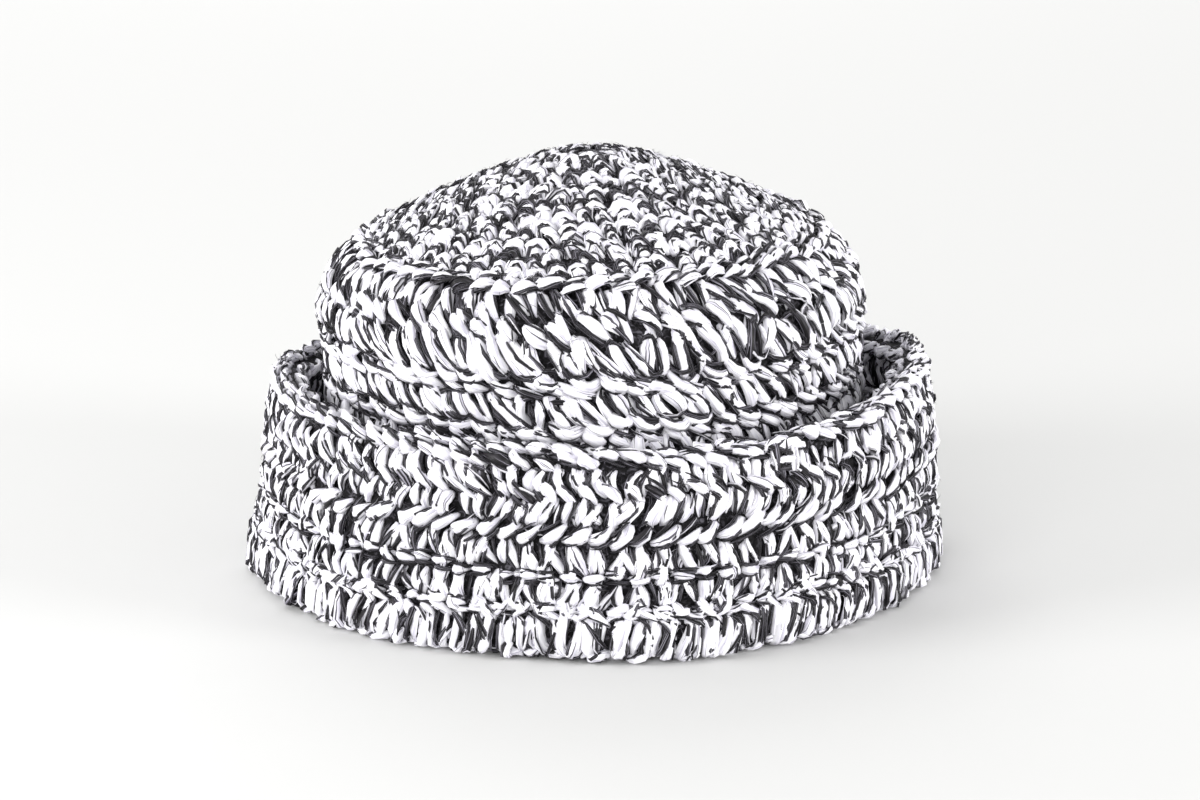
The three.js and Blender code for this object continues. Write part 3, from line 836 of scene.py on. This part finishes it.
# The rim's edging: chains side by side over the top of the cuff
edging_rounds = [
    work_round("edge", RIM_AT + 4.4, RIM_AT - 1.0, CUFF_STITCHES, -1, lift=3.4),
    work_round("edge", RIM_AT + 4.4, RIM_AT - 1.0, CUFF_STITCHES, 1, lift=3.2, shift=0.4),
    work_round("edge", RIM_AT + 6.0, RIM_AT + 3.4, CUFF_STITCHES, -1, lift=1.0, shift=0.7),
]
edging_stitches = join("edging_stitches", yarn(edging_rounds))

# The trough round the crown: the brim's upper face and the cuff's inside
trough_rounds = [
    work_round("short", FOOT_AT, FOOT_AT + 12, 72, 1, lift=2.4),
    work_round("short", FOOT_AT + 12, FOOT_AT + 24, 84, 1, lift=2.4),
    work_round("short", FOOT_AT + 24, FOOT_AT + 35, 96, 1, lift=2.2),
    work_round("short", FOOT_AT + 35, FOLD_AT, CUFF_STITCHES, 1, lift=2.0),
]
# The cuff's inside has the same columns as its outside
INNER_CUFF_ROUNDS = [
    ("short", 44.0, 56.0, 2.4),
    ("short", 33.0, 44.0, 2.6),
    ("line", 30.0, 33.0, 3.0),
    ("tall", 17.0, 30.0, 2.7),
    ("line", 14.0, 17.0, 3.0),
    ("tall", 0.0, 14.0, 2.7),
]
for stitch, top, bottom, lift in INNER_CUFF_ROUNDS:
    trough_rounds.append(work_round(stitch, RIM_AT - top, RIM_AT - bottom, CUFF_STITCHES, 1, lift))
# Over a quarter of the trough's ribbons show their black side: partly the black yarn that shows there, partly
# painted shade that darkens the trough
trough_stitches = join("trough_stitches", yarn(trough_rounds, plain=True, turned=0.28))

# Under the brim and inside the crown, in rounds that overlap
INSIDE_LIFT = 2.6
INSIDE_SIDE_ROUNDS = 6
INSIDE_PITCH = 14.7
INSIDE_HEIGHT = 16.5
inside_rounds = [
    work_round("short", FOLD_AT - 19, FOLD_AT - 3, CUFF_STITCHES, -1, INSIDE_LIFT),
    work_round("short", FOLD_AT - 31, FOLD_AT - 17, 90, -1, INSIDE_LIFT),
    work_round("short", FOLD_AT - 42, FOLD_AT - 29, 80, -1, INSIDE_LIFT),
    work_round("short", FOOT_AT - 5, FOLD_AT - 40, 70, -1, INSIDE_LIFT),
]
for number in range(INSIDE_SIDE_ROUNDS):
    top = RIDGE_AT + 0.5 + number * INSIDE_PITCH
    shift = 0.4 * number
    inside_rounds.append(work_round("short", top, top + INSIDE_HEIGHT, SIDE_STITCHES, -1, INSIDE_LIFT, shift))
for number in range(TIP_ROUNDS):
    inner, outer = number * TIP_PITCH + 0.5, (number + 1) * TIP_PITCH + 2
    inside_rounds.append(work_round("short", inner, outer, TIP_INCREASE * (number + 1), -1, INSIDE_LIFT))
inside_stitches = join("inside_stitches", yarn(inside_rounds, plain=True, swell=1.2))

# Strands that slipped out of their stitches
STRAY_RIBBONS = 160
STRAY_FILAMENTS = 240


def strays(ribbon_count, filament_count):
    """Short strands that lie across the stitches at all angles."""
    count = ribbon_count + filament_count
    on_crown = chance.random(count) < 0.55
    crown_along = chance.uniform(6, FOOT_AT - 8, count)
    along = np.where(on_crown, crown_along, chance.uniform(FOLD_AT, RIM_AT, count))
    black = np.arange(count) >= ribbon_count
    length = np.where(black, chance.uniform(6, 12, count), chance.uniform(5, 9, count))
    angle = chance.uniform(0, 2 * math.pi, count)
    reach = np.stack([np.cos(angle), np.sin(angle)], -1) * length[:, None] / 2
    path = np.zeros((count, 4, 3))
    path[:, :, :2] = reach[:, None] * np.array([-1, -0.35, 0.35, 1])[None, :, None]
    path[:, :, :2] += chance.normal(0, 0.9, (count, 4, 2))
    path[:, :, 2] = 2.9 + np.where(black[:, None], [0.0, 2.6, 2.6, 0.0], [-1.4, 2.3, 2.3, -1.4])
    return [
        {
            "path": path,
            "turn": chance.uniform(0, 2 * math.pi, count),
            "radius": np.maximum(radius_at(along), SMALLEST_RADIUS),
            "along": along,
            "down": np.where(on_crown, 1.0, -1.0),
            "face": np.where(on_crown, 1.0, -1.0),
            "wide": np.where(black, chance.uniform(1.0, 1.5, count), chance.uniform(2.4, 3.8, count)),
            "black": black,
            "dark": np.full(count, 0.3),
        }
    ]


stray_strands = join("stray_strands", yarn([strays(STRAY_RIBBONS, STRAY_FILAMENTS)], plain=True))

# Where two lengths of yarn are tied together in the rim: degrees round the hat, and mm above the cuff's top
KNOT_TURN = -58.5
KNOT_ABOVE = 1.0
WIDEST_BLACK = 3.0  # mm: the knot's wide strands are white and its narrow ones black
# Each strand of the knot: its four points in mm to the right, downwards and out of the fabric, and its width
KNOT = [
    ((-7.0, 1.0, 3.0), (-4.5, -5.0, 6.2), (1.0, -6.0, 6.8), (3.0, 1.5, 4.6), 4.4),
    ((-4.0, 3.5, 4.0), (-1.0, -3.0, 7.2), (5.5, -4.5, 7.2), (7.5, 1.5, 3.6), 4.2),
    ((-2.5, -5.0, 4.0), (-3.5, 0.0, 7.4), (-1.0, 5.0, 6.4), (-3.0, 11.0, 2.4), 4.0),
    ((3.0, -4.0, 4.2), (5.0, 1.0, 7.4), (2.5, 6.0, 6.0), (5.0, 11.5, 2.4), 3.8),
    ((-6.0, 5.0, 3.2), (-2.0, 2.0, 7.6), (3.0, 3.5, 7.6), (7.0, 5.5, 3.4), 3.6),
    ((-5.0, -2.0, 5.6), (-1.5, -0.5, 7.8), (2.0, 1.0, 7.8), (5.0, 4.0, 5.4), 1.5),
    ((0.5, -5.5, 5.6), (1.5, -1.0, 8.0), (-1.0, 4.0, 7.4), (1.0, 9.0, 3.6), 1.6),
    ((-4.5, 6.5, 4.4), (-1.0, 5.5, 6.6), (2.5, 8.0, 6.0), (6.5, 7.5, 3.6), 1.7),
    ((2.0, 7.5, 4.6), (4.5, 9.0, 6.0), (7.5, 11.5, 5.8), (10.0, 15.0, 3.4), 2.9),
    ((0.0, 9.5, 4.4), (2.5, 11.0, 5.8), (5.5, 13.5, 5.6), (8.0, 17.0, 3.2), 2.7),
    ((5.0, 5.5, 4.6), (7.0, 8.0, 5.8), (9.5, 9.5, 5.6), (12.0, 13.0, 3.4), 2.6),
]


def tied_knot():
    """The strands of the knot, the widest of them white."""
    path = np.array([row[:4] for row in KNOT])
    wide = np.array([row[4] for row in KNOT])
    count = len(KNOT)
    return [
        {
            "path": path,
            "turn": np.full(count, math.radians(KNOT_TURN)),
            "radius": np.full(count, float(radius_at(RIM_AT))),
            "along": np.full(count, RIM_AT + KNOT_ABOVE),
            "down": np.full(count, -1.0),
            "face": np.full(count, -1.0),
            "wide": wide,
            "black": wide < WIDEST_BLACK,
            "dark": np.zeros(count),
        }
    ]


knot = join("rim_knot", yarn([tied_knot()]))

HAIRS = 3200
HAIR_WIDTH = (0.12, 0.22)  # mm, least and most
HAIR_HEIGHT = (0.8, 3.6)  # mm that a hair stands out of the stitches, least and most


def loose_hairs(name, count):
    """Fine paper fibres that stand out of the crown and the cuff."""
    on_crown = chance.random(count) < 0.6
    crown_along = chance.uniform(2, FOOT_AT - 20, count)
    along = np.where(on_crown, crown_along, chance.uniform(FOLD_AT, RIM_AT + 5, count))
    face = np.where(on_crown, 1.0, -1.0)
    path = np.zeros((count, 4, 3))
    path[:, 1:, :2] = np.cumsum(chance.normal(0, 1.3, (count, 3, 2)), 1)
    path[:, :, 2] = 3.6 + np.array([0, 0.5, 0.85, 1.0]) * chance.uniform(*HAIR_HEIGHT, (count, 1))
    hairs = {
        "path": path,
        "turn": chance.uniform(0, 2 * math.pi, count),
        "radius": radius_at(along),
        "along": along,
        "down": np.ones(count),
        "face": face,
    }
    slim = chance.uniform(*HAIR_WIDTH, count)
    return join(name, [(lay(HAIR, hairs, slim, slim), (chance.random(count) < 0.75).astype(int))])


hairs = loose_hairs("loose_hairs", HAIRS)

tip_ground = ground("tip_ground", 0.0, RIDGE_AT)
side_ground = ground("side_ground", RIDGE_AT, FOOT_AT)
brim_ground = ground("brim_ground", FOOT_AT, FOLD_AT)
cuff_ground = ground("cuff_ground", FOLD_AT, RIM_AT + 3)

PIECES = [
    (tip_stitches, "crown_tip"),
    (ridge_stitches, "ridge_chain"),
    (side_stitches, "crown_side"),
    (lower_side_stitches, None),
    (trough_stitches, "brim"),
    (cuff_stitches, "cuff"),
    (lower_cuff_stitches, None),
    (edging_stitches, "rim_edging"),
    (inside_stitches, None),
    (stray_strands, None),
    (knot, None),
    (hairs, None),
    (tip_ground, None),
    (side_ground, None),
    (brim_ground, None),
    (cuff_ground, None),
]
for piece, node in PIECES:
    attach(piece, "root")
    if node:
        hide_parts(node)


# The floor, the lights and the camera, in metres

FLOOR_SIZE = 12
FLOOR_DROP = 0.0002  # the floor lies this far under the hat, so that their faces don't meet


def pale_floor():
    """A matt sweep of white paper."""
    bpy.ops.object.select_all(action="DESELECT")
    bpy.ops.mesh.primitive_plane_add(size=FLOOR_SIZE, location=(0, 0, -FLOOR_DROP))
    floor = bpy.context.object
    floor.name = "floor"
    material = bpy.data.materials.new("white_paper_sweep")
    material.use_nodes = True
    shader = material.node_tree.nodes["Principled BSDF"]
    shader.inputs["Base Color"].default_value = linear("#CECECD")
    shader.inputs["Roughness"].default_value = 0.9
    shader.inputs["Specular IOR Level"].default_value = 0.1
    floor.data.materials.append(material)


HAT_MIDDLE = (0, 0, 0.06)
FLOOR_BEHIND = (0, 1.9, 0)
# Each light: its name, where it stands, what it points at, its width and its watts
LIGHTS = [
    ("overhead", (-0.6, 0.3, 2.4), HAT_MIDDLE, 2.4, 10),
    ("front", (-0.8, -2.5, 0.9), HAT_MIDDLE, 1.8, 36),
    ("left", (-1.6, -0.6, 0.5), HAT_MIDDLE, 0.8, 26),
    ("right", (2.8, -1.1, 0.55), HAT_MIDDLE, 1.0, 79),
    ("back", (-0.3, 2.6, 1.8), FLOOR_BEHIND, 2.0, 38),
]
WORLD_STRENGTH = 0.77


def soft_light(name, place, aim, size, power):
    """A square soft light."""
    data = bpy.data.lights.new(name, "AREA")
    data.size = size
    data.energy = power
    light = bpy.data.objects.new(name, data)
    bpy.context.scene.collection.objects.link(light)
    light.location = place
    light.rotation_euler = (Vector(aim) - light.location).to_track_quat("-Z", "Y").to_euler()


pale_floor()
for row in LIGHTS:
    soft_light(*row)

world = bpy.data.worlds.new("studio")
world.use_nodes = True
world.node_tree.nodes["Background"].inputs["Color"].default_value = linear("#FFFFFF")
world.node_tree.nodes["Background"].inputs["Strength"].default_value = WORLD_STRENGTH
bpy.context.scene.world = world
bpy.context.scene.view_settings.view_transform = "Standard"

CAMERA_DISTANCE = 1.4
CAMERA_ELEVATION = math.radians(14.6)
CAMERA_LENS = 115.5  # mm, for a sensor 36 mm wide
CAMERA_CENTRE = Vector((0, 0, 0.07))  # the camera's distance and elevation are from here
CAMERA_AIM = Vector((0.0025, 0, 0.0584))
camera_data = bpy.data.cameras.new("camera")
camera_data.lens = CAMERA_LENS
camera_data.sensor_width = 36
camera_data.clip_end = 50
camera = bpy.data.objects.new("camera", camera_data)
bpy.context.scene.collection.objects.link(camera)
towards_camera = Vector((0, -math.cos(CAMERA_ELEVATION), math.sin(CAMERA_ELEVATION)))
camera.location = CAMERA_CENTRE + towards_camera * CAMERA_DISTANCE
camera.rotation_euler = (CAMERA_AIM - camera.location).to_track_quat("-Z", "Y").to_euler()
bpy.context.scene.camera = camera
